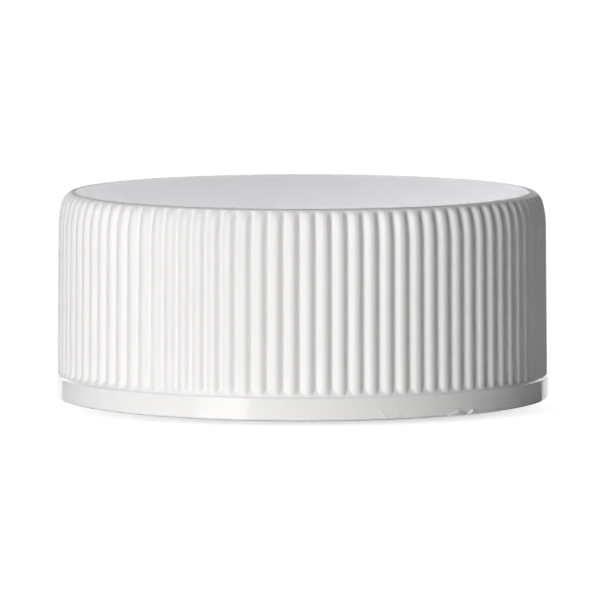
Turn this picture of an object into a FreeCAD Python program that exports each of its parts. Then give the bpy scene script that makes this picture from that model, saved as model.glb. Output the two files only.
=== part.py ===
"""White ribbed continuous thread cap, size 24-400, with its liner.

Millimetres, +Z up. The cap stands on its open rim: the origin is on the cap's axis, in the plane of
the rim. Radii are built outwards from the root of the thread, and heights upwards from the rim.
"""

import FreeCAD, Part

import math
import os
from types import SimpleNamespace

import Sketcher
from FreeCAD import Vector

SIZES = {
    "overall_height": 11.0,
    "panel_thickness": 1.2,
    "wall_thickness": 0.84,
    "draft_angle": 0.55,
    "lead_in": 0.45,
    "rim_chamfer": 0.1,
    "band_height": 1.15,
    "ledge_width": 0.095,
    "ledge_rise": 0.07,
    "ledge_flat": 0.02,
    "rib_count": 96,
    "rib_depth": 0.2,
    "rib_width": 0.7,
    "rib_crest_width": 0.26,
    "rib_cover": 0.015,
    "rib_dip": 0.06,
    "rib_runout": 0.44,
    "ease_radius": 4.9,
    "ease_angle": 14.7,
    "shoulder_radius": 0.91,
    "ring_angle": 10.1,
    "thread_root_radius": 12.1,
    "thread_depth": 1.1,
    "thread_pitch": 3.175,
    "thread_turns": 1.5,
    "thread_start": 1.9,
    "thread_crest_width": 0.6,
    "thread_flank_angle": 26.6,
    "thread_cutter_radius": 5.0,
    "bead_height": 0.5,
    "bead_crest_height": 0.2,
    "bead_proud": 0.2,
    "liner_thickness": 1.0,
    "liner_side_clearance": 0.05,
    "liner_bead_clearance": 0.05,
}

FULL_TURN = 360.0
# what a feature reaches past the face that it joins or trims
OVERLAP = 0.2
# the thread's crest is trimmed in sectors, so that each crest face stays on its own turn
CREST_SECTORS = 8
# each end of the thread is faded over this share of a pitch, above and below its middle
FADE_SHARE = 0.45

# heights and radii that more than one sketch needs
ROOT = "Dims.thread_root_radius"
CREST = "(Dims.thread_root_radius - Dims.thread_depth)"
UNDERSIDE = "(Dims.overall_height - Dims.panel_thickness)"
LEDGE_TOP = "(Dims.band_height + Dims.ledge_rise)"
FLOOR_FOOT = f"({LEDGE_TOP} + Dims.rib_runout)"
FLOOR_RADIUS = f"({ROOT} + Dims.wall_thickness)"
LEDGE_RADIUS = f"({FLOOR_RADIUS} + Dims.rib_depth + Dims.rib_cover)"
BAND_RADIUS = f"({LEDGE_RADIUS} + Dims.ledge_width)"
SIDE_RADIUS = f"({LEDGE_RADIUS} + Dims.ledge_flat)"
HALF_PITCH = "(180deg / Dims.rib_count)"
BEAD_TOP = f"({UNDERSIDE} - Dims.liner_thickness - Dims.liner_bead_clearance)"
DRAFT = "Dims.draft_angle * 1deg"
EASE = "Dims.ease_angle * 1deg"
EDGE = f"({EASE} + acos(1 - Dims.rib_depth / Dims.shoulder_radius) + Dims.ring_angle * 1deg)"
BEND_HEIGHT = f"(Dims.overall_height - Dims.shoulder_radius * sin({EDGE}))"
BEND_REACH = "(Dims.ease_radius - Dims.shoulder_radius)"
# the ribs start inside the band
RIB_START = "(Dims.band_height / 2)"

doc = FreeCAD.newDocument("ThreadCap")
sheet = doc.addObject("Spreadsheet::Sheet", "Dims")
for row, (alias, value) in enumerate(SIZES.items(), start=1):
    sheet.set(f"A{row}", alias.replace("_", " "))
    sheet.set(f"B{row}", str(value))
    sheet.setAlias(f"B{row}", alias)
doc.recompute()

dims = SimpleNamespace(**{alias: float(sheet.get(alias)) for alias in SIZES})


def worked_out(expression):
    """The number that an expression on the sheet's sizes gives, angles in degrees."""
    result = sheet.evalExpression(expression)
    return float(getattr(result, "Value", result))


def new_body(label):
    body = doc.addObject("PartDesign::Body", label)
    body.Label = label
    return body


def new_sketch(body, name, role):
    """A sketch on one of the body's own origin planes."""
    sketch = body.newObject("Sketcher::SketchObject", name)
    plane = [feature for feature in body.Origin.OriginFeatures if feature.Role == role][0]
    sketch.AttachmentSupport = (plane, [""])
    sketch.MapMode = "FlatFace"
    return sketch


def line(start, end):
    return Part.LineSegment(Vector(*start, 0), Vector(*end, 0))


def arc(centre, radius, first, last):
    """An arc drawn anticlockwise between two angles in degrees."""
    circle = Part.Circle(Vector(*centre, 0), Vector(0, 0, 1), radius)
    return Part.ArcOfCircle(circle, math.radians(first), math.radians(last))


def add_chain(sketch, corners, closed=True):
    """Straight lines from corner to corner. Line k starts at corner k."""
    count = len(corners) if closed else len(corners) - 1
    for number in range(count):
        following = (number + 1) % len(corners)
        sketch.addGeometry(line(corners[number], corners[following]), False)
    for number in range(count if closed else count - 1):
        sketch.addConstraint(Sketcher.Constraint("Coincident", number, 2, (number + 1) % count, 1))


def add_guide(sketch, guide, start, end):
    """A construction arc. Each end names how it meets another curve, that curve, and which end of it."""
    index = sketch.addGeometry(guide, True)
    for point, (kind, curve, curve_point) in enumerate((start, end), start=1):
        sketch.addConstraint(Sketcher.Constraint(kind, curve, curve_point, index, point))
    return index


def add_size(sketch, name, kind, where, expression):
    """A dimension of the sketch that follows the sheet."""
    value = worked_out(expression)
    if kind == "Angle":
        value = math.radians(value)
    index = sketch.addConstraint(Sketcher.Constraint(kind, *where, value))
    sketch.renameConstraint(index, name)
    sketch.setExpression(f"Constraints.{name}", expression)


def add_place(sketch, name, where, across, up):
    """Puts a point of the sketch at a radius and a height."""
    origin = (-1, 1)
    if across is not None:
        add_size(sketch, f"{name}_radius", "DistanceX", (*origin, *where), across)
    if up is not None:
        add_size(sketch, f"{name}_height", "DistanceY", (*origin, *where), up)


def polar(centre, radius, angle):
    return (
        centre[0] + radius * math.cos(math.radians(angle)),
        centre[1] + radius * math.sin(math.radians(angle)),
    )


def ease_centre():
    """Where the shoulder's larger arc is centred, to draw the sketches near their final shape."""
    draft = math.radians(dims.draft_angle)
    ease_height = worked_out(f"{BEND_HEIGHT} - {BEND_REACH} * sin({EASE})")
    top_of_skirt = ease_height + dims.ease_radius * math.sin(draft)
    crest = worked_out(FLOOR_RADIUS) + dims.rib_depth
    crest -= (top_of_skirt - worked_out(FLOOR_FOOT)) * math.tan(draft)
    return crest - dims.ease_radius * math.cos(draft), ease_height


def add_closure_form(body):
    """The turned form: rim, band and ledge, a plain side and top, the panel, the wall and its bead."""
    height = dims.overall_height
    root = dims.thread_root_radius
    band = worked_out(BAND_RADIUS)
    side = worked_out(SIDE_RADIUS)
    ledge_top = worked_out(LEDGE_TOP)
    chamfer = dims.rim_chamfer
    underside = worked_out(UNDERSIDE)
    bead_top = worked_out(BEAD_TOP)
    bead_bottom = bead_top - dims.bead_height
    bead_slope = (dims.bead_height - dims.bead_crest_height) / 2
    bead_radius = root - dims.bead_proud

    RIM, CHAMFER, BAND, LEDGE, SIDE, TOP, AXIS, PANEL = range(8)
    SEAT, BEAD_ROOF, BEAD_CREST, BEAD_FLOOR, WALL, LEAD_IN = range(8, 14)
    corners = [
        (root + dims.lead_in, 0),
        (band - chamfer, 0),
        (band, chamfer),
        (band, dims.band_height),
        (side, ledge_top),
        (side, height),
        (0, height),
        (0, underside),
        (root, underside),
        (root, bead_top),
        (bead_radius, bead_top - bead_slope),
        (bead_radius, bead_bottom + bead_slope),
        (root, bead_bottom),
        (root, dims.lead_in),
    ]
    sketch = new_sketch(body, "closure_section", "XZ_Plane")
    add_chain(sketch, corners)
    for flat in (RIM, TOP, PANEL):
        sketch.addConstraint(Sketcher.Constraint("Horizontal", flat))
    for upright in (BAND, SIDE, AXIS, SEAT, BEAD_CREST, WALL):
        sketch.addConstraint(Sketcher.Constraint("Vertical", upright))

    bead_foot = f"({BEAD_TOP} - Dims.bead_height)"
    slope = "(Dims.bead_height - Dims.bead_crest_height) / 2"
    add_place(sketch, "rim", (RIM, 1), f"{ROOT} + Dims.lead_in", "0")
    add_place(sketch, "chamfer_foot", (CHAMFER, 1), f"{BAND_RADIUS} - Dims.rim_chamfer", None)
    add_place(sketch, "chamfer_top", (BAND, 1), BAND_RADIUS, "Dims.rim_chamfer")
    add_place(sketch, "band", (LEDGE, 1), None, "Dims.band_height")
    add_place(sketch, "ledge", (SIDE, 1), SIDE_RADIUS, LEDGE_TOP)
    add_place(sketch, "top", (AXIS, 1), "0", "Dims.overall_height")
    add_place(sketch, "underside", (SEAT, 1), ROOT, UNDERSIDE)
    add_place(sketch, "bead_top", (BEAD_ROOF, 1), None, BEAD_TOP)
    add_place(sketch, "bead_roof", (BEAD_CREST, 1), f"{ROOT} - Dims.bead_proud", f"{BEAD_TOP} - {slope}")
    add_place(sketch, "bead_crest", (BEAD_FLOOR, 1), None, f"{bead_foot} + {slope}")
    add_place(sketch, "bead_foot", (WALL, 1), ROOT, bead_foot)
    add_place(sketch, "lead_in", (LEAD_IN, 1), None, "Dims.lead_in")

    form = body.newObject("PartDesign::Revolution", "closure_form")
    form.Profile = sketch
    form.ReferenceAxis = (sketch, ["V_Axis"])
    form.Angle = FULL_TURN


def add_groove_floors(body):
    """Cuts the side back to the grooves' floors, one flat per groove, and shapes the shoulder."""
    ease = ease_centre()
    bend = polar(ease, worked_out(BEND_REACH), dims.ease_angle)
    draft = dims.draft_angle
    edge_angle = worked_out(EDGE)
    ring_start = edge_angle - dims.ring_angle
    floor_radius = dims.ease_radius - dims.rib_depth
    clear = worked_out(BAND_RADIUS) + OVERLAP
    ring_top = polar(bend, dims.shoulder_radius, edge_angle)
    corners = [
        (clear, worked_out(LEDGE_TOP)),
        (worked_out(LEDGE_RADIUS), worked_out(LEDGE_TOP)),
        (worked_out(FLOOR_RADIUS), worked_out(FLOOR_FOOT)),
        polar(ease, floor_radius, draft),
        polar(ease, floor_radius, dims.ease_angle),
        polar(bend, dims.shoulder_radius, ring_start),
        ring_top,
        (ring_top[0], dims.overall_height + OVERLAP),
        (clear, dims.overall_height + OVERLAP),
    ]
    FOOT, RUNOUT, FLOOR, EASE_CHORD, RISE, RING_CHORD, ABOVE, OVER, OUTSIDE = range(9)
    sketch = new_sketch(body, "floor_section", "XZ_Plane")
    sketch.AttachmentOffset = FreeCAD.Placement(Vector(), FreeCAD.Rotation(Vector(0, 1, 0), 1))
    sketch.setExpression("AttachmentOffset.Rotation.Angle", HALF_PITCH)
    add_chain(sketch, corners)
    for flat in (FOOT, OVER):
        sketch.addConstraint(Sketcher.Constraint("Horizontal", flat))
    for upright in (ABOVE, OUTSIDE):
        sketch.addConstraint(Sketcher.Constraint("Vertical", upright))
    add_place(sketch, "outside", (FOOT, 1), f"{BAND_RADIUS} + {OVERLAP}", None)
    add_place(sketch, "ledge", (RUNOUT, 1), LEDGE_RADIUS, LEDGE_TOP)
    add_place(sketch, "floor_foot", (FLOOR, 1), FLOOR_RADIUS, FLOOR_FOOT)
    add_place(sketch, "top", (ABOVE, 1), None, "Dims.overall_height")
    add_place(sketch, "above", (OVER, 1), None, f"Dims.overall_height + {OVERLAP}")

    # the shoulder's chords end on two arcs that share the line through their centres
    ease_arc = add_guide(
        sketch,
        arc(ease, floor_radius, draft, dims.ease_angle),
        ("Tangent", FLOOR, 2),
        ("Tangent", RISE, 1),
    )
    ring_arc = add_guide(
        sketch,
        arc(bend, dims.shoulder_radius, ring_start, edge_angle),
        ("Coincident", RING_CHORD, 1),
        ("Coincident", RING_CHORD, 2),
    )
    add_size(sketch, "draft", "Angle", (-2, 1, FLOOR, 1), DRAFT)
    add_size(sketch, "ease_radius", "Radius", (ease_arc,), "Dims.ease_radius - Dims.rib_depth")
    add_size(sketch, "ring_radius", "Radius", (ring_arc,), "Dims.shoulder_radius")
    add_place(sketch, "bend", (ring_arc, 3), None, BEND_HEIGHT)
    centres = sketch.addGeometry(line(ease, bend), True)
    sketch.addConstraint(Sketcher.Constraint("Coincident", centres, 1, ease_arc, 3))
    sketch.addConstraint(Sketcher.Constraint("Coincident", centres, 2, ring_arc, 3))
    sketch.addConstraint(Sketcher.Constraint("PointOnObject", ease_arc, 2, centres))
    add_size(sketch, "centres_apart", "Distance", (centres,), BEND_REACH)
    add_size(sketch, "ease_angle", "Angle", (centres,), EASE)

    flat = body.newObject("PartDesign::Pocket", "groove_floor")
    flat.Profile = sketch
    flat.SideType = "Symmetric"
    flat.Refine = False
    flat.setExpression("Length", f"2 * {BAND_RADIUS} * tan({HALF_PITCH}) + {OVERLAP}")
    all_round(body, "groove_floors", flat, "Dims.rib_count")


def add_thread(body):
    """The right-hand ridge on the inner wall, with a turned crest and ends that fade into the wall."""
    slope = "tan(Dims.thread_flank_angle * 1deg)"
    half_inner = f"(Dims.thread_crest_width / 2 - {OVERLAP} * {slope})"
    half_outer = f"(Dims.thread_crest_width / 2 + (Dims.thread_depth + {OVERLAP}) * {slope})"
    inner = f"{CREST} - {OVERLAP}"
    outer = f"{ROOT} + {OVERLAP}"
    places = (
        (inner, f"Dims.thread_start - {half_inner}"),
        (outer, f"Dims.thread_start - {half_outer}"),
        (outer, f"Dims.thread_start + {half_outer}"),
        (inner, f"Dims.thread_start + {half_inner}"),
    )
    sketch = new_sketch(body, "thread_section", "XZ_Plane")
    add_chain(sketch, [(worked_out(across), worked_out(up)) for across, up in places])
    for corner, (across, up) in enumerate(places):
        add_place(sketch, f"corner_{corner}", (corner, 1), across, up)

    ridge = body.newObject("PartDesign::AdditiveHelix", "thread_ridge")
    ridge.Profile = sketch
    ridge.ReferenceAxis = (sketch, ["V_Axis"])
    # mode 1 takes a pitch and a number of turns
    ridge.Mode = 1
    ridge.Refine = False
    ridge.setExpression("Pitch", "Dims.thread_pitch")
    ridge.setExpression("Turns", "Dims.thread_turns")


def trim_thread(body):
    """Turns the ridge's crest to its minor diameter and fades both of its ends with a round cutter."""
    inner = worked_out(CREST) - 2 * OVERLAP
    outer = worked_out(CREST)
    top = worked_out(BEAD_TOP)
    FOOT, FACE, HEAD, INSIDE = range(4)
    sketch = new_sketch(body, "crest_section", "XZ_Plane")
    add_chain(sketch, [(inner, 0), (outer, 0), (outer, top), (inner, top)])
    for flat in (FOOT, HEAD):
        sketch.addConstraint(Sketcher.Constraint("Horizontal", flat))
    for upright in (FACE, INSIDE):
        sketch.addConstraint(Sketcher.Constraint("Vertical", upright))
    add_place(sketch, "foot", (FOOT, 1), f"{CREST} - {2 * OVERLAP}", "0")
    add_place(sketch, "head", (FACE, 2), CREST, BEAD_TOP)

    crest = body.newObject("PartDesign::Groove", "crest_sector")
    crest.Profile = sketch
    crest.ReferenceAxis = (sketch, ["V_Axis"])
    crest.Angle = FULL_TURN / CREST_SECTORS
    crest.Refine = False
    all_round(body, "crest", crest, str(CREST_SECTORS))

    for name, turns in (("thread_start_fade", "0"), ("thread_end_fade", "Dims.thread_turns")):
        fade = body.newObject("PartDesign::SubtractiveCylinder", name)
        fade.Refine = False
        offset = f"({ROOT} - Dims.thread_cutter_radius)"
        middle = f"(Dims.thread_start + Dims.thread_pitch * {turns})"
        fade.setExpression("Radius", "Dims.thread_cutter_radius")
        fade.setExpression("Height", f"Dims.thread_pitch * {2 * FADE_SHARE}")
        fade.setExpression("Placement.Base.x", f"{offset} * cos({turns} * 360deg)")
        fade.setExpression("Placement.Base.y", f"{offset} * sin({turns} * 360deg)")
        fade.setExpression("Placement.Base.z", f"{middle} - Dims.thread_pitch * {FADE_SHARE}")


def all_round(body, name, feature, count):
    """Repeats a feature round the cap's axis."""
    pattern = body.newObject("PartDesign::PolarPattern", name)
    axis = [item for item in body.Origin.OriginFeatures if item.Role == "Z_Axis"][0]
    pattern.Originals = [feature]
    pattern.Axis = (axis, [""])
    pattern.Angle = FULL_TURN
    pattern.Refine = False
    pattern.setExpression("Occurrences", count)
    body.Tip = pattern


def add_ribs(body):
    """Grip ribs that run up the skirt, over the shoulder, and die out in the ring below the top."""
    ease = ease_centre()
    draft = dims.draft_angle
    start_height = worked_out(RIB_START)
    bend_radius = dims.shoulder_radius - dims.rib_dip
    skirt_top = polar(ease, dims.ease_radius, draft)
    ease_end = polar(ease, dims.ease_radius, dims.ease_angle)
    bend_centre = polar(ease, dims.ease_radius - bend_radius, dims.ease_angle)
    bend_end = polar(bend_centre, bend_radius, worked_out(EDGE))
    lean = (skirt_top[1] - start_height) * math.tan(math.radians(draft))

    path = new_sketch(body, "rib_path", "XZ_Plane")
    SKIRT, EASE_CHORD, LOWER_BEND, UPPER_BEND = range(4)
    bend_middle = polar(bend_centre, bend_radius, (dims.ease_angle + worked_out(EDGE)) / 2)
    start = (skirt_top[0] + lean, start_height)
    add_chain(path, [start, skirt_top, ease_end, bend_middle, bend_end], closed=False)
    ease_arc = add_guide(
        path,
        arc(ease, dims.ease_radius, draft, dims.ease_angle),
        ("Tangent", SKIRT, 2),
        ("Coincident", EASE_CHORD, 2),
    )
    bend_arc = add_guide(
        path,
        arc(bend_centre, bend_radius, dims.ease_angle, worked_out(EDGE)),
        ("Tangent", ease_arc, 2),
        ("Coincident", UPPER_BEND, 2),
    )
    path.addConstraint(Sketcher.Constraint("PointOnObject", LOWER_BEND, 2, bend_arc))
    path.addConstraint(Sketcher.Constraint("Equal", LOWER_BEND, UPPER_BEND))
    rise = f"({FLOOR_FOOT} - {RIB_START})"
    start_radius = f"{FLOOR_RADIUS} + Dims.rib_depth / cos({DRAFT}) + {rise} * tan({DRAFT})"
    add_place(path, "start", (SKIRT, 1), start_radius, RIB_START)
    add_size(path, "draft", "Angle", (-2, 1, SKIRT, 1), DRAFT)
    add_size(path, "ease_radius", "Radius", (ease_arc,), "Dims.ease_radius")
    add_place(path, "ease", (ease_arc, 3), None, f"{BEND_HEIGHT} - {BEND_REACH} * sin({EASE})")
    add_size(path, "bend_radius", "Radius", (bend_arc,), "Dims.shoulder_radius - Dims.rib_dip")
    for name, guide, start, end, angle in (
        ("ease_end", ease_arc, ease, ease_end, EASE),
        ("bend_end", bend_arc, bend_centre, bend_end, EDGE),
    ):
        spoke = path.addGeometry(line(start, end), True)
        path.addConstraint(Sketcher.Constraint("Coincident", spoke, 1, guide, 3))
        path.addConstraint(Sketcher.Constraint("Coincident", spoke, 2, guide, 2))
        add_size(path, name, "Angle", (spoke,), angle)

    section = new_sketch(body, "rib_section", "XY_Plane")
    section.setExpression("AttachmentOffset.Base.z", RIB_START)
    radii = (f"{start_radius} - 2 * Dims.rib_depth", f"{start_radius} - Dims.rib_depth", start_radius)
    half_widths = ("Dims.rib_width / 2", "Dims.rib_width / 2", "Dims.rib_crest_width / 2")
    places = [(across, f"-{half}") for across, half in zip(radii, half_widths)]
    places += list(zip(reversed(radii), reversed(half_widths)))
    add_chain(section, [(worked_out(across), worked_out(up)) for across, up in places])
    for corner, (across, up) in enumerate(places):
        add_place(section, f"corner_{corner}", (corner, 1), across, up)

    rib = body.newObject("PartDesign::AdditivePipe", "rib")
    rib.Profile = section
    rib.Spine = path
    rib.Transition = "Right corner"
    rib.Refine = False
    all_round(body, "ribs", rib, "Dims.rib_count")


def add_liner(body):
    """The foamed disc that lies face to face with the panel's underside, held up by the bead."""
    sketch = new_sketch(body, "liner_outline", "XY_Plane")
    radius = f"{ROOT} - Dims.liner_side_clearance"
    outline = sketch.addGeometry(Part.Circle(Vector(0, 0, 0), Vector(0, 0, 1), worked_out(radius)), False)
    sketch.addConstraint(Sketcher.Constraint("Coincident", outline, 3, -1, 1))
    add_size(sketch, "edge", "Radius", (outline,), radius)
    disc = body.newObject("PartDesign::Pad", "disc")
    disc.Profile = sketch
    disc.setExpression("Length", "Dims.liner_thickness")
    body.setExpression("Placement.Base.z", f"{UNDERSIDE} - Dims.liner_thickness")


shell = new_body("cap_shell")
add_closure_form(shell)
add_groove_floors(shell)
add_ribs(shell)
add_thread(shell)
trim_thread(shell)
liner = new_body("liner")
add_liner(liner)
doc.recompute()

for item in doc.Objects:
    if "Invalid" in item.State or "Error" in item.State:
        raise RuntimeError(f"{item.Name}: {item.State}")
    shape = getattr(item, "Shape", None)
    if shape is not None and (shape.isNull() or not shape.isValid()):
        raise RuntimeError(f"{item.Name}: its shape is not valid")

os.makedirs("parts", exist_ok=True)
for body in (shell, liner):
    body.Shape.exportStep(f"parts/{body.Label}.step")
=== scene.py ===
import math

import bmesh
import bpy
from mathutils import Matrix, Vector


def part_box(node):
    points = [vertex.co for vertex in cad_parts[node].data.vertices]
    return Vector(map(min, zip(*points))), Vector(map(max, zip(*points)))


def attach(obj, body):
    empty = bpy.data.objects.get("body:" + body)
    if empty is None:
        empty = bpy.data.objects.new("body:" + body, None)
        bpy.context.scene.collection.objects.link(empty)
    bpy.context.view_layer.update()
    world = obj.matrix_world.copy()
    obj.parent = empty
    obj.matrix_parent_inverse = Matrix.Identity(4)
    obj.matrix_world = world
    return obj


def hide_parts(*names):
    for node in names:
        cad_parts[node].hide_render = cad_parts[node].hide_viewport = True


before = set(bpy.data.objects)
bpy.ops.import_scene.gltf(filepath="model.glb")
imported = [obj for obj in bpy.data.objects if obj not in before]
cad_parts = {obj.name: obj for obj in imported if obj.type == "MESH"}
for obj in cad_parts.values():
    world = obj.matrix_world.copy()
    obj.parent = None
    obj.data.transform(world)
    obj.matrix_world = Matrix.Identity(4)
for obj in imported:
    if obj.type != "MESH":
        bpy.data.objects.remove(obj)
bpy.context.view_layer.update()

# Turned body of the cap: rim, plain band, ledge, inner wall with the liner's bead, and the panel.
# Injection-moulded white polypropylene in one shot with the ribbed skin and the thread below.
# Sizes are in mm. The outer ones stay a micron inside the box of the meshed solid.
MM = 0.001
SETBACK = 0.001
cap_lowest, cap_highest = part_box("cap_shell")
liner_lowest, liner_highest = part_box("liner")
BAND_RADIUS = round(-cap_lowest.x / MM - SETBACK, 3)
TOP = round(cap_highest.z / MM - SETBACK, 3)
PANEL_UNDERSIDE = round(liner_highest.z / MM, 3)
BAND_HEIGHT = 1.17
LEDGE_TOP = 1.26
LEDGE_RADIUS = 13.155
LEDGE_LAP = 0.02
CORE_RADIUS = 12.7
CORE_TOP = 10.4
ROOT_RADIUS = 12.1
LEAD_IN = 0.45
BEAD_HEIGHT = 8.5
BEAD_DEPTH = 0.2
BEAD_HALF_FOOT = 0.25
BEAD_HALF_CREST = 0.1
TURNED_STEPS = 250


def clear_selection():
    """Objects loaded from the frame are selected, and an operator acts on all that is selected."""
    bpy.ops.object.select_all(action="DESELECT")


def name_piece(name):
    piece = bpy.context.active_object
    piece.name = name
    piece.data.name = name
    return piece


def select_points(piece, wanted):
    """In edit mode: selects the points of the mesh for which wanted(point) holds."""
    mesh = bmesh.from_edit_mesh(piece.data)
    for element in (*mesh.faces, *mesh.edges, *mesh.verts):
        element.select = False
    for point in mesh.verts:
        point.select = wanted(point)
    mesh.select_flush(True)
    bmesh.update_edit_mesh(piece.data)


def draw_section(name, corners):
    """A closed section in the XZ plane: one point pulled from corner to corner, then rounded.

    A corner is its radius and height, and where it is rounded, by how much and in how many steps."""
    clear_selection()
    bpy.ops.mesh.primitive_plane_add(size=MM, location=(0, 0, 0))
    piece = name_piece(name)
    bpy.ops.object.mode_set(mode="EDIT")
    bpy.ops.mesh.select_all(action="SELECT")
    bpy.ops.mesh.merge(type="CENTER")
    bpy.ops.transform.translate(value=(corners[0][0] * MM, 0, corners[0][1] * MM))
    for here, there in zip(corners, corners[1:]):
        step = ((there[0] - here[0]) * MM, 0, (there[1] - here[1]) * MM)
        bpy.ops.mesh.extrude_region_move(TRANSFORM_OT_translate={"value": step})
    places = [Vector((radius, 0, height)) for radius, height, *rounding in corners]

    def at(*wanted):
        reach = 0.004
        return lambda point: any((point.co / MM - place).length < reach for place in wanted)

    select_points(piece, at(places[0], places[-1]))
    bpy.ops.mesh.edge_face_add()
    for place, (radius, height, *rounding) in zip(places, corners):
        if rounding:
            select_points(piece, at(place))
            bpy.ops.mesh.bevel(
                offset_type="OFFSET", offset=rounding[0] * MM, segments=rounding[1], affect="VERTICES"
            )
    return piece


def close_mesh():
    """In edit mode: welds doubled points and turns every face outwards."""
    bpy.ops.mesh.select_all(action="SELECT")
    bpy.ops.mesh.remove_doubles(threshold=0.0004 * MM)
    bpy.ops.mesh.dissolve_degenerate(threshold=0.0002 * MM)
    bpy.ops.mesh.normals_make_consistent(inside=False)


turned_section = [
    (ROOT_RADIUS + LEAD_IN, 0, 0.04, 2),
    (BAND_RADIUS, 0, 0.16, 5),
    (BAND_RADIUS, BAND_HEIGHT),
    (LEDGE_RADIUS - LEDGE_LAP, LEDGE_TOP),
    (CORE_RADIUS, LEDGE_TOP),
    (CORE_RADIUS, CORE_TOP),
    (0, CORE_TOP),
    (0, PANEL_UNDERSIDE),
    (ROOT_RADIUS, PANEL_UNDERSIDE),
    (ROOT_RADIUS, BEAD_HEIGHT + BEAD_HALF_FOOT),
    (ROOT_RADIUS - BEAD_DEPTH, BEAD_HEIGHT + BEAD_HALF_CREST, 0.09, 3),
    (ROOT_RADIUS - BEAD_DEPTH, BEAD_HEIGHT - BEAD_HALF_CREST, 0.09, 3),
    (ROOT_RADIUS, BEAD_HEIGHT - BEAD_HALF_FOOT, 0.08, 2),
    (ROOT_RADIUS, LEAD_IN, 0.1, 3),
]
cap = draw_section("cap_shell_moulding", turned_section)
bpy.ops.mesh.select_all(action="SELECT")
bpy.ops.mesh.spin(steps=TURNED_STEPS, angle=2 * math.pi, center=(0, 0, 0), axis=(0, 0, 1))
close_mesh()
bpy.ops.object.mode_set(mode="OBJECT")

# Ribbed skin: ninety-six rounded grip ribs with flat grooves between them, from the ledge over the
# shoulder to the flat top. One pitch is shaped row by row and copied round the cap.
RIBS = 96
PITCH_ANGLE = math.radians(360 / RIBS)
RIB_DEPTH = 0.2
# half of the rib's section: share of the pitch from the crest, and height above the groove
RIB_SECTION = [
    (0, 0.2),
    (0.06, 0.198),
    (0.117, 0.19),
    (0.187, 0.168),
    (0.233, 0.144),
    (0.28, 0.1125),
    (0.327, 0.079),
    (0.373, 0.049),
    (0.42, 0.025),
    (0.46, 0.008),
    (0.5, 0),
]
WALL_RADIUS = 12.94
FLOOR_FOOT = 1.66
RUN_OUT_HEIGHT = 0.42
RUN_OUT_DEPTH = 0.215
RUN_OUT_SHARES = (1, 0.86, 0.7, 0.52, 0.34, 0.16, 0)
RUN_OUT_CURVE = 1.4
DRAFT = math.radians(0.55)
DRAFTED_HEIGHT = 1.2
EASE_RADIUS = 4.9
EASE_ANGLE = math.radians(14.7)
EASE_STEPS = 4
SHOULDER_RADIUS = 0.91
SHOULDER_STEPS = 10
PAST_FADE = math.radians(10.1)
EDGE_ROUNDING = 0.4
EDGE_STEPS = 4
SKIN_FOOT = 0.7
SKIN_BACK_TOP = 10.2
SKIN_BACK_RADIUS = 12.5

fade_angle = math.acos(1 - RIB_DEPTH / SHOULDER_RADIUS)
edge_angle = EASE_ANGLE + fade_angle + PAST_FADE
bend_height = TOP - SHOULDER_RADIUS * math.sin(edge_angle)
bend_reach = EASE_RADIUS - SHOULDER_RADIUS
ease_height = bend_height - bend_reach * math.sin(EASE_ANGLE)
skirt_top = ease_height + EASE_RADIUS * math.sin(DRAFT)
crest_at_top = WALL_RADIUS + RIB_DEPTH - (skirt_top - FLOOR_FOOT) * math.tan(DRAFT)
ease_centre = crest_at_top - EASE_RADIUS * math.cos(DRAFT)
bend_centre = ease_centre + bend_reach * math.cos(EASE_ANGLE)

# each row: the groove floor's radius and height, the angle of its normal, and how much of the rib's
# depth the floor has swallowed
rows = [(LEDGE_RADIUS, SKIN_FOOT, 0, RIB_DEPTH)]
for share in RUN_OUT_SHARES:
    swallowed = RUN_OUT_DEPTH * share**RUN_OUT_CURVE
    rows.append((WALL_RADIUS + swallowed, FLOOR_FOOT - RUN_OUT_HEIGHT * share, 0, swallowed))
rows.append((WALL_RADIUS - DRAFTED_HEIGHT * math.tan(DRAFT), FLOOR_FOOT + DRAFTED_HEIGHT, DRAFT, 0))
for step in range(EASE_STEPS + 1):
    angle = DRAFT + (EASE_ANGLE - DRAFT) * step / EASE_STEPS
    reach = EASE_RADIUS - RIB_DEPTH
    rows.append((ease_centre + reach * math.cos(angle), ease_height + reach * math.sin(angle), angle, 0))

# over the shoulder the grooves run straight on while the crests bend in, until they meet
floor_reach = SHOULDER_RADIUS - RIB_DEPTH
for step in range(1, SHOULDER_STEPS + 1):
    turn = fade_angle * step / SHOULDER_STEPS
    along = SHOULDER_RADIUS * math.sin(turn)
    radius = bend_centre + floor_reach * math.cos(EASE_ANGLE) - along * math.sin(EASE_ANGLE)
    height = bend_height + floor_reach * math.sin(EASE_ANGLE) + along * math.cos(EASE_ANGLE)
    rows.append((radius, height, EASE_ANGLE, SHOULDER_RADIUS * (1 - math.cos(turn))))
rounding_start = math.asin((TOP - EDGE_ROUNDING - bend_height) / (SHOULDER_RADIUS - EDGE_ROUNDING))
edge_centre = bend_centre + (SHOULDER_RADIUS - EDGE_ROUNDING) * math.cos(rounding_start)
shoulder_end = bend_centre + SHOULDER_RADIUS * math.cos(rounding_start)
rows.append((shoulder_end, bend_height + SHOULDER_RADIUS * math.sin(rounding_start), 0, RIB_DEPTH))
for step in range(1, EDGE_STEPS + 1):
    angle = rounding_start + (math.pi / 2 - rounding_start) * step / EDGE_STEPS
    radius = edge_centre + EDGE_ROUNDING * math.cos(angle)
    rows.append((radius, TOP - EDGE_ROUNDING * (1 - math.sin(angle)), 0, RIB_DEPTH))

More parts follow.
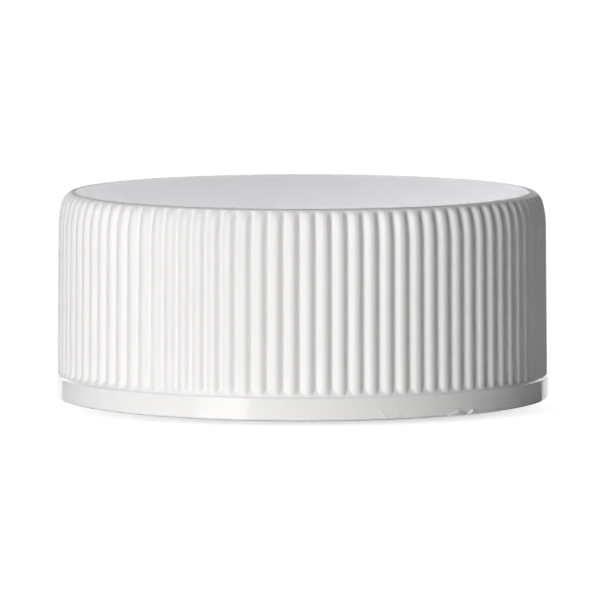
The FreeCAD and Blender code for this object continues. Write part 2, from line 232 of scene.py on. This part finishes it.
# the top has sunk a little inside its edge, where the panel is thick: its slope grows out to the
# steepest radius and falls to nothing at the edge
STEEPEST_RADIUS = 10.3
SINK_SLOPE = math.tan(math.radians(1.6))
SINK_RADII = (11.8, 11.4, 11.0, 10.6, 10.3, 9.5, 8.0, 6.0, 4.0, 2.0, 0.0)
rim_width = edge_centre - STEEPEST_RADIUS
for radius in SINK_RADII:
    if radius > STEEPEST_RADIUS:
        sunk = (edge_centre - radius) ** 2 / (2 * rim_width)
    else:
        sunk = rim_width / 2 + (STEEPEST_RADIUS**2 - radius**2) / (2 * STEEPEST_RADIUS)
    rows.append((radius, TOP - SINK_SLOPE * sunk, 0, RIB_DEPTH))
for radius, height in ((0, SKIN_BACK_TOP), (SKIN_BACK_RADIUS, SKIN_BACK_TOP), (SKIN_BACK_RADIUS, SKIN_FOOT)):
    rows.append((radius, height, 0, RIB_DEPTH))
rows.append(rows[0])


def draw_sheet(name, rows_of_points):
    """A sheet of points, given row by row: a grid whose points are moved to their places."""
    width = len(rows_of_points[0])
    depth = len(rows_of_points)
    clear_selection()
    bpy.ops.mesh.primitive_grid_add(
        x_subdivisions=width - 1, y_subdivisions=depth - 1, size=1, location=(0, 0, 0)
    )
    sheet = name_piece(name)
    bpy.ops.object.mode_set(mode="EDIT")
    for row, points in enumerate(rows_of_points):
        for column, target in enumerate(points):
            start = Vector((column / (width - 1) - 0.5, row / (depth - 1) - 0.5, 0))
            number = row * width + column
            select_points(sheet, lambda point: point.index == number)
            bpy.ops.transform.translate(value=target * MM - start)
    close_mesh()
    bpy.ops.object.mode_set(mode="OBJECT")
    return sheet


across_pitch = [(-share, relief) for share, relief in reversed(RIB_SECTION)] + RIB_SECTION[1:]
skin_points = []
for radius, height, tilt, swallowed in rows:
    width = 2 * radius * math.tan(PITCH_ANGLE / 2)
    points = []
    for share, relief in across_pitch:
        faded = relief * max(1 - swallowed / RIB_DEPTH, 0)
        buried = max(relief - swallowed, 0)
        out = faded if height > FLOOR_FOOT else (faded + buried) / 2
        points.append(Vector((share * width, -radius - out * math.cos(tilt), height + out * math.sin(tilt))))
    skin_points.append(points)
skin = draw_sheet("ribbed_skin", skin_points)

# Thread: a right-hand ridge of one and a half turns, moulded with the wall. Its crest is turned and
# its two ends fade into the wall, where a round cutter of five millimetres has run out.
CREST_RADIUS = 11.0
CREST_WIDTH = 0.6
CREST_ROUNDING = 0.14
FLANK_SLOPE = math.tan(math.radians(26.6))
THREAD_PITCH = 3.175
THREAD_TURNS = 1.5
THREAD_START = 1.9
THREAD_STEPS = 240
FADE_RADIUS = 5.0
FADE_HEIGHT = 0.9 * THREAD_PITCH
BURIED = 0.25

half_crest = CREST_WIDTH / 2
half_root = half_crest + (ROOT_RADIUS + BURIED - CREST_RADIUS) * FLANK_SLOPE
ridge_section = [
    (CREST_RADIUS, THREAD_START - half_crest, CREST_ROUNDING, 3),
    (ROOT_RADIUS + BURIED, THREAD_START - half_root),
    (ROOT_RADIUS + BURIED, THREAD_START + half_root),
    (CREST_RADIUS, THREAD_START + half_crest, CREST_ROUNDING, 3),
]
ridge = draw_section("thread_ridge", ridge_section)
bpy.ops.object.mode_set(mode="OBJECT")
winding = ridge.modifiers.new("winding", "SCREW")
winding.axis = "Z"
winding.angle = 2 * math.pi * THREAD_TURNS
winding.screw_offset = THREAD_PITCH * THREAD_TURNS * MM
winding.steps = THREAD_STEPS
winding.render_steps = THREAD_STEPS
winding.use_merge_vertices = False
bpy.ops.object.modifier_apply(modifier="winding")
bpy.ops.object.mode_set(mode="EDIT")
bpy.ops.mesh.select_all(action="DESELECT")
bpy.ops.mesh.select_mode(type="EDGE")
bpy.ops.mesh.select_non_manifold()
bpy.ops.mesh.edge_face_add()
bpy.ops.mesh.select_mode(type="VERT")
close_mesh()
bpy.ops.object.mode_set(mode="OBJECT")


def combine(piece, other, operation):
    """Adds the other solid to the piece or cuts it out of it. The other one is used up."""
    clear_selection()
    piece.select_set(True)
    bpy.context.view_layer.objects.active = piece
    joining = piece.modifiers.new("joining", "BOOLEAN")
    joining.operation = operation
    joining.solver = "EXACT"
    joining.object = other
    bpy.ops.object.modifier_apply(modifier="joining")
    bpy.data.objects.remove(other, do_unlink=True)


for turns in (0, THREAD_TURNS):
    angle = 2 * math.pi * turns
    offset = (ROOT_RADIUS - FADE_RADIUS) * MM
    height = (THREAD_START + THREAD_PITCH * turns) * MM
    clear_selection()
    bpy.ops.mesh.primitive_cylinder_add(
        vertices=128,
        radius=FADE_RADIUS * MM,
        depth=FADE_HEIGHT * MM,
        location=(offset * math.cos(angle), offset * math.sin(angle), height),
    )
    combine(ridge, name_piece("thread_fade"), "DIFFERENCE")

# Flash: thin burrs of plastic left at the rim's parting line, right of the front, as in the photograph.
# They are part of the moulding. Each one is a tube of sections that starts and ends inside the band.
BURR_DEPTH = 0.08
# each station: azimuth in degrees from the front, lower and upper height, and how far it stands out
BURRS = [
    [
        (15.9, 0.5, 0.5, None), (16.4, 0.38, 0.49, 0.03), (16.9, 0.28, 0.43, 0.06),
        (17.4, 0.18, 0.34, 0.065), (17.9, 0.11, 0.24, 0.045), (18.5, 0.09, 0.17, 0.02),
        (18.9, 0.12, 0.12, None),
    ],
    [
        (20.0, 0.34, 0.34, None), (20.5, 0.22, 0.33, 0.035), (21.1, 0.13, 0.26, 0.05),
        (21.7, 0.08, 0.18, 0.03), (22.2, 0.09, 0.09, None),
    ],
    [
        (33.4, 0.04, 0.04, None), (34.3, 0.01, 0.12, 0.05), (35.1, 0.01, 0.2, 0.1),
        (35.9, 0.01, 0.27, 0.13), (36.5, 0.01, 0.33, 0.13), (37.1, 0.01, 0.31, 0.11),
        (37.7, 0.01, 0.25, 0.09), (38.3, 0.01, 0.18, 0.07), (38.8, 0.01, 0.13, 0.05),
        (39.6, 0.04, 0.04, None),
    ],
    [
        (39.3, 0.04, 0.04, None), (39.8, 0.01, 0.11, 0.06), (40.3, 0.01, 0.2, 0.12),
        (40.8, 0.02, 0.28, 0.15), (41.4, 0.01, 0.25, 0.1), (42.1, 0.01, 0.18, 0.08),
        (43.4, 0.01, 0.16, 0.06), (45.0, 0.01, 0.15, 0.07), (46.8, 0.01, 0.16, 0.055),
        (48.2, 0.01, 0.16, 0.06), (48.9, 0.01, 0.22, 0.08), (49.5, 0.01, 0.16, 0.06),
        (50.3, 0.01, 0.11, 0.04), (51.6, 0.04, 0.04, None),
    ],
    [
        (53.1, 0.2, 0.2, None), (53.25, 0.22, 0.28, 0.01), (53.45, 0.32, 0.4, 0.012),
        (53.6, 0.44, 0.52, 0.01), (53.7, 0.56, 0.56, None),
    ],
]
# the burr's section: share of how far it stands out, and share of the way from its lower height;
# None is inside the band
BURR_SECTION = [(None, 0), (0.35, 0.05), (0.75, 0.35), (1, 0.7), (0.6, 0.95), (None, 1), (None, 0)]
for stations in BURRS:
    burr_points = []
    for azimuth, low, high, proud in stations:
        angle = math.radians(azimuth)
        points = []
        for out, rise in BURR_SECTION:
            inside = out is None or proud is None
            radius = BAND_RADIUS + (-BURR_DEPTH if inside else out * proud)
            height = low + (high - low) * rise
            points.append(Vector((radius * math.sin(angle), -radius * math.cos(angle), height)))
        burr_points.append(points)
    combine(cap, draw_sheet("rim_burr", burr_points), "UNION")

# One pitch of the skin is copied round the cap. Skin, turned body and thread are one moulding, in a
# smooth half-gloss finish, with a polished band and a fine spark-eroded grain on the flat top.
SMOOTH_ANGLE = math.radians(40)
WHITE = (0.83, 0.83, 0.83, 1)
RIB_ROUGHNESS = 0.48
TOP_ROUGHNESS = 0.22
BAND_ROUGHNESS = 0.11
TOP_FINISH_HEIGHTS = (10.7, 10.75)
TOP_FINISH_RADII = (12.25, 12.1)
BAND_FINISH_HEIGHTS = (1.27, 1.23)
GRAIN_SCALE = 4200.0
GRAIN_HEIGHT = 0.2

clear_selection()
skin.select_set(True)
bpy.context.view_layer.objects.active = skin
bpy.ops.object.mode_set(mode="EDIT")
bpy.ops.mesh.select_all(action="SELECT")
bpy.ops.mesh.spin(
    steps=RIBS - 1,
    dupli=True,
    angle=PITCH_ANGLE * (RIBS - 1),
    center=(0, 0, 0),
    axis=(0, 0, 1),
)
close_mesh()
bpy.ops.object.mode_set(mode="OBJECT")
for part in (skin, ridge):
    combine(cap, part, "UNION")
bpy.ops.object.shade_smooth_by_angle(angle=SMOOTH_ANGLE)


class Signal:
    """A shader socket that takes part in Python's arithmetic."""

    def __init__(self, tree, socket):
        self.tree = tree
        self.socket = socket

    def math(self, operation, *values):
        return add_node(self.tree, "ShaderNodeMath", {"operation": operation}, dict(enumerate(values)))

    def __sub__(self, other):
        return self.math("SUBTRACT", self, other)

    def __rsub__(self, other):
        return self.math("SUBTRACT", other, self)

    def __mul__(self, other):
        return self.math("MULTIPLY", self, other)

    def __rmul__(self, other):
        return self.math("MULTIPLY", self, other)

    def between(self, stretch, first=0.0, last=1.0):
        """Goes evenly from the first to the last value over a stretch of this one, given in mm."""
        start, end = stretch
        limits = {"From Min": start * MM, "From Max": end * MM, "To Min": first, "To Max": last}
        return add_node(self.tree, "ShaderNodeMapRange", {"clamp": True}, {"Value": self, **limits})


def add_node(tree, kind, settings=None, inputs=None, output=0):
    """A node of a type, its settings set first and then the values or links of its sockets."""
    node = tree.nodes.new(kind)
    for setting, value in (settings or {}).items():
        setattr(node, setting, value)
    for place, value in (inputs or {}).items():
        if isinstance(value, Signal):
            tree.links.new(value.socket, node.inputs[place])
        else:
            node.inputs[place].default_value = value
    return Signal(tree, node.outputs[output])


def new_finish(name, even_values):
    """A material with one Principled shader, whose even values are set on its own sockets."""
    material = bpy.data.materials.new(name)
    material.use_nodes = True
    shader = material.node_tree.nodes["Principled BSDF"]
    for socket, value in even_values.items():
        shader.inputs[socket].default_value = value
    return material, material.node_tree, shader


moulded, tree, shader = new_finish("moulded_white_polypropylene", {"Base Color": WHITE})
place = add_node(tree, "ShaderNodeTexCoord", output="Object")
above_rim = add_node(tree, "ShaderNodeSeparateXYZ", inputs={"Vector": place}, output="Z")
flat_place = add_node(tree, "ShaderNodeVectorMath", {"operation": "MULTIPLY"}, {0: place, 1: (1, 1, 0)})
from_axis = add_node(tree, "ShaderNodeVectorMath", {"operation": "LENGTH"}, {0: flat_place}, "Value")
on_top = above_rim.between(TOP_FINISH_HEIGHTS) * from_axis.between(TOP_FINISH_RADII)
on_band = above_rim.between(BAND_FINISH_HEIGHTS)
duller_than_top = RIB_ROUGHNESS - TOP_ROUGHNESS
duller_than_band = RIB_ROUGHNESS - BAND_ROUGHNESS
roughness = RIB_ROUGHNESS - duller_than_top * on_top - duller_than_band * on_band
tree.links.new(roughness.socket, shader.inputs["Roughness"])
grain_inputs = {"Vector": place, "Scale": GRAIN_SCALE, "Detail": 3.0, "Roughness": 0.7}
grain = add_node(tree, "ShaderNodeTexNoise", inputs=grain_inputs)
relief = (grain - 0.5) * on_top
bump = add_node(
    tree, "ShaderNodeBump", inputs={"Strength": 1.0, "Distance": GRAIN_HEIGHT * MM, "Height": relief}
)
tree.links.new(bump.socket, shader.inputs["Normal"])
cap.data.materials.clear()
cap.data.materials.append(moulded)
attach(cap, "root")
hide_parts("cap_shell")

# Liner: the soft disc that seals the cap on a bottle's lip. It is cut from foamed polyethylene sheet
# and snapped past the bead, which holds it against the panel.
LINER_RADIUS = round(liner_highest.x / MM, 3)
LINER_THICKNESS = round((liner_highest.z - liner_lowest.z) / MM, 3)
LINER_EDGE = 0.07
CELL_SCALE = 4500.0
CELL_HEIGHT = 0.03

clear_selection()
bpy.ops.mesh.primitive_cylinder_add(
    vertices=192,
    radius=LINER_RADIUS * MM,
    depth=LINER_THICKNESS * MM,
    location=(0, 0, (PANEL_UNDERSIDE - LINER_THICKNESS / 2) * MM),
)
liner = name_piece("foam_liner")
bpy.ops.object.transform_apply(location=True, rotation=True, scale=True)
bpy.ops.object.mode_set(mode="EDIT")
bpy.ops.mesh.select_all(action="SELECT")
bpy.ops.mesh.bevel(offset=LINER_EDGE * MM, segments=3, affect="EDGES")
close_mesh()
bpy.ops.object.mode_set(mode="OBJECT")
bpy.ops.object.shade_smooth_by_angle(angle=math.radians(30))

foam, tree, shader = new_finish(
    "white_closed_cell_foam", {"Base Color": (0.84, 0.84, 0.83, 1), "Roughness": 0.62}
)
place = add_node(tree, "ShaderNodeTexCoord", output="Object")
cells = add_node(tree, "ShaderNodeTexVoronoi", {"feature": "F1"}, {"Vector": place, "Scale": CELL_SCALE})
bump = add_node(
    tree, "ShaderNodeBump", inputs={"Strength": 0.35, "Distance": CELL_HEIGHT * MM, "Height": cells}
)
tree.links.new(bump.socket, shader.inputs["Normal"])
liner.data.materials.append(foam)
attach(liner, "root")
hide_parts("liner")

# Table: white paper a hundredth of a millimetre below the rim. The camera sees it glow evenly. For a few
# millimetres in front of the cap the glow is held back along a fixed arc, a painted shade that does not
# follow the lamps, so the real shadow on the lit paper shows more there.
TABLE_SIZE = 6
TABLE_GAP = 0.01
GLOW_STRENGTH = 1.2
GLOW_SHARE = 0.86
HELD_BACK = 0.72
SHADE_RADII = (17.2, 13.2)
SHADE_FRONT = (-4, -13)
SHADE_FALLOFF = 1.6

clear_selection()
bpy.ops.mesh.primitive_plane_add(size=TABLE_SIZE, location=(0, 0, -TABLE_GAP * MM))
table = name_piece("table")
paper, tree, shader = new_finish(
    "white_table", {"Base Color": (0.9, 0.9, 0.9, 1), "Roughness": 1.0, "Specular IOR Level": 0.0}
)
place = add_node(tree, "ShaderNodeTexCoord", output="Object")
backwards = add_node(tree, "ShaderNodeSeparateXYZ", inputs={"Vector": place}, output="Y")
from_axis = add_node(tree, "ShaderNodeVectorMath", {"operation": "LENGTH"}, {0: place}, "Value")
near_cap = from_axis.between(SHADE_RADII)
in_front = backwards.between(SHADE_FRONT)
# painted shade: the glow is held back along a fixed arc in front of the cap
painted_shade = near_cap.math("POWER", near_cap, SHADE_FALLOFF) * in_front
seen = add_node(tree, "ShaderNodeLightPath", output="Is Camera Ray")
glow = add_node(tree, "ShaderNodeEmission", inputs={"Color": (1, 1, 1, 1), "Strength": GLOW_STRENGTH})
glow_share = seen * (GLOW_SHARE - HELD_BACK * painted_shade)
lit_paper = Signal(tree, shader.outputs[0])
mixed = add_node(tree, "ShaderNodeMixShader", inputs={0: glow_share, 1: lit_paper, 2: glow})
tree.links.new(mixed.socket, tree.nodes["Material Output"].inputs["Surface"])
table.data.materials.append(paper)

# Studio lamps: warm soft boxes at the left and right front, cool ones high at the left and behind, and a
# low warm one on the far side, which the gloss doesn't show.
WARM = (1.0, 0.985, 0.962)
COOL = (0.955, 0.946, 1.0)
LAMP_AIM = 5


def add_softbox(name, azimuth, elevation, distance, width, height, power, tint):
    """A rectangular lamp that faces the cap. Azimuth 0 is the camera's side, positive to the right.

    Distance and size are in metres and power is in watts."""
    turn = math.radians(azimuth)
    rise = math.radians(elevation)
    away = Vector((math.sin(turn) * math.cos(rise), -math.cos(turn) * math.cos(rise), math.sin(rise)))
    lamp = bpy.data.lights.new(name, "AREA")
    lamp.shape = "RECTANGLE"
    lamp.size = width
    lamp.size_y = height
    lamp.energy = power
    lamp.color = tint
    holder = bpy.data.objects.new(name, lamp)
    bpy.context.scene.collection.objects.link(holder)
    holder.location = away * distance + Vector((0, 0, LAMP_AIM * MM))
    holder.rotation_euler = away.to_track_quat("Z", "Y").to_euler()
    return holder


add_softbox("key", -30, 10, 0.6, 0.22, 0.3, 2.9, WARM)
add_softbox("right_fill", 15, 10, 0.6, 0.3, 0.3, 0.25, WARM)
add_softbox("high_side", -60, 45, 0.6, 0.4, 0.4, 0.59, COOL)
add_softbox("backdrop", 180, 9, 1.0, 1.15, 0.32, 0.67, COOL)
far_side = add_softbox("far_side", 180, 4, 0.6, 0.3, 0.3, 1.5, WARM)
far_side.visible_glossy = False

# Studio cards: glowing sheets that only the cap's gloss shows, two on the table where the polished
# band mirrors it, one along the horizon for the flat top, and two above it for the rounded edge.
CARD_LIFT = 0.05
CARD_START = -0.5
CAMERA_TURN = math.radians(-1.35)
HORIZON_DISTANCE = 1000
LEFT_SHARE = 0.66
TINT_STRETCH = (14, 60)
FADING_STRETCH = (20, 200)


def add_card(name, corners, strength):
    """A glowing card, its corners in mm. It shows only in what the cap reflects."""
    clear_selection()
    bpy.ops.mesh.primitive_plane_add(size=2 * MM, location=(0, 0, 0))
    card = name_piece(name)
    for point, corner in zip(card.data.vertices, corners):
        point.co = Vector(corner) * MM
    shining, tree, shader = new_finish(
        name, {"Base Color": (0, 0, 0, 1), "Emission Color": (1, 1, 1, 1), "Emission Strength": strength}
    )
    card.data.materials.append(shining)
    card.visible_camera = False
    card.visible_diffuse = False
    card.visible_shadow = False
    return tree, shader


def mirrored_spot(azimuth, distance):
    """The spot on the table that the band mirrors at an azimuth, so far from it."""
    outward = math.radians(azimuth)
    onward = 2 * outward - CAMERA_TURN
    across = BAND_RADIUS * math.sin(outward) + distance * math.sin(onward)
    along = -BAND_RADIUS * math.cos(outward) - distance * math.cos(onward)
    return across, along, CARD_LIFT


for name, first, last, reach, strength in (
    ("card_behind", 74, -77, 1150, 1.15),
    ("card_in_front", -26.5, -14, 60, 2.2),
):
    ends = (first, last)
    corners = [mirrored_spot(azimuth, distance) for distance in (CARD_START, reach) for azimuth in ends]
    add_card(name, corners, strength)


def upright_corners(left, right, low, high):
    return [(across, HORIZON_DISTANCE, up) for up in (low, high) for across in (left, right)]


# the horizon is brighter on the right and low down
tree, shader = add_card("bright_horizon", upright_corners(-600, 600, 5, 200), 3.2)
place = add_node(tree, "ShaderNodeTexCoord", output="Object")
across = add_node(tree, "ShaderNodeSeparateXYZ", inputs={"Vector": place}, output="X")
upward = add_node(tree, "ShaderNodeSeparateXYZ", inputs={"Vector": place}, output="Z")
rightward = across.between(TINT_STRETCH)
fading = upward.between(FADING_STRETCH, 1.0, 0.1)
left_tint = (*(LEFT_SHARE * value for value in COOL), 1)
# a colour mix takes its two colours at sockets 6 and 7 and gives its result at 2
tint = add_node(tree, "ShaderNodeMix", {"data_type": "RGBA"}, {0: rightward, 6: left_tint, 7: (*COOL, 1)}, 2)
faded_tint = add_node(tree, "ShaderNodeVectorMath", {"operation": "SCALE"}, {0: tint, "Scale": fading})
tree.links.new(faded_tint.socket, shader.inputs["Emission Color"])
add_card("high_left_card", upright_corners(-600, -80, 200, 650), 1.6)
add_card("high_right_card", upright_corners(230, 600, 200, 650), 2.0)

# Room: dim white walls and ceiling, which light the cap a little from all sides. The camera sees them
# as plain white.
world = bpy.data.worlds.new("studio")
bpy.context.scene.world = world
world.use_nodes = True
tree = world.node_tree
ceiling = tree.nodes["Background"]
ceiling.inputs["Color"].default_value = (1, 1, 1, 1)
ceiling.inputs["Strength"].default_value = 0.06
white_room = add_node(tree, "ShaderNodeBackground", inputs={"Color": (1, 1, 1, 1), "Strength": 1.0})
seen = add_node(tree, "ShaderNodeLightPath", output="Is Camera Ray")
mixed = add_node(
    tree, "ShaderNodeMixShader", inputs={0: seen, 1: Signal(tree, ceiling.outputs[0]), 2: white_room}
)
tree.links.new(mixed.socket, tree.nodes["World Output"].inputs["Surface"])
bpy.context.scene.view_settings.view_transform = "Standard"

# Camera: a long lens, 420 mm away and five degrees above the table. It stands a little to the left of
# the cap's front, as in the photograph.
DISTANCE = 420.0
ELEVATION = math.radians(5.17)
FRAME_WIDTH = 32.21
AIM_HEIGHT = 5.5
AIM_RIGHT = -0.123
AIM_UP = -0.354
SENSOR_WIDTH = 36

right = Vector((math.cos(CAMERA_TURN), math.sin(CAMERA_TURN), 0))
back = Vector((math.sin(CAMERA_TURN), -math.cos(CAMERA_TURN), 0))
up = Vector((0, 0, math.cos(ELEVATION))) - back * math.sin(ELEVATION)
away = back * math.cos(ELEVATION) + Vector((0, 0, math.sin(ELEVATION)))
aim = Vector((0, 0, AIM_HEIGHT)) + right * AIM_RIGHT + up * AIM_UP
lens = bpy.data.cameras.new("camera")
lens.sensor_width = SENSOR_WIDTH
lens.lens = SENSOR_WIDTH * DISTANCE / FRAME_WIDTH
lens.clip_start = 0.01
lens.clip_end = 50
camera = bpy.data.objects.new("camera", lens)
bpy.context.scene.collection.objects.link(camera)
camera.location = (aim + away * DISTANCE) * MM
camera.rotation_euler = away.to_track_quat("Z", "Y").to_euler()
bpy.context.scene.camera = camera
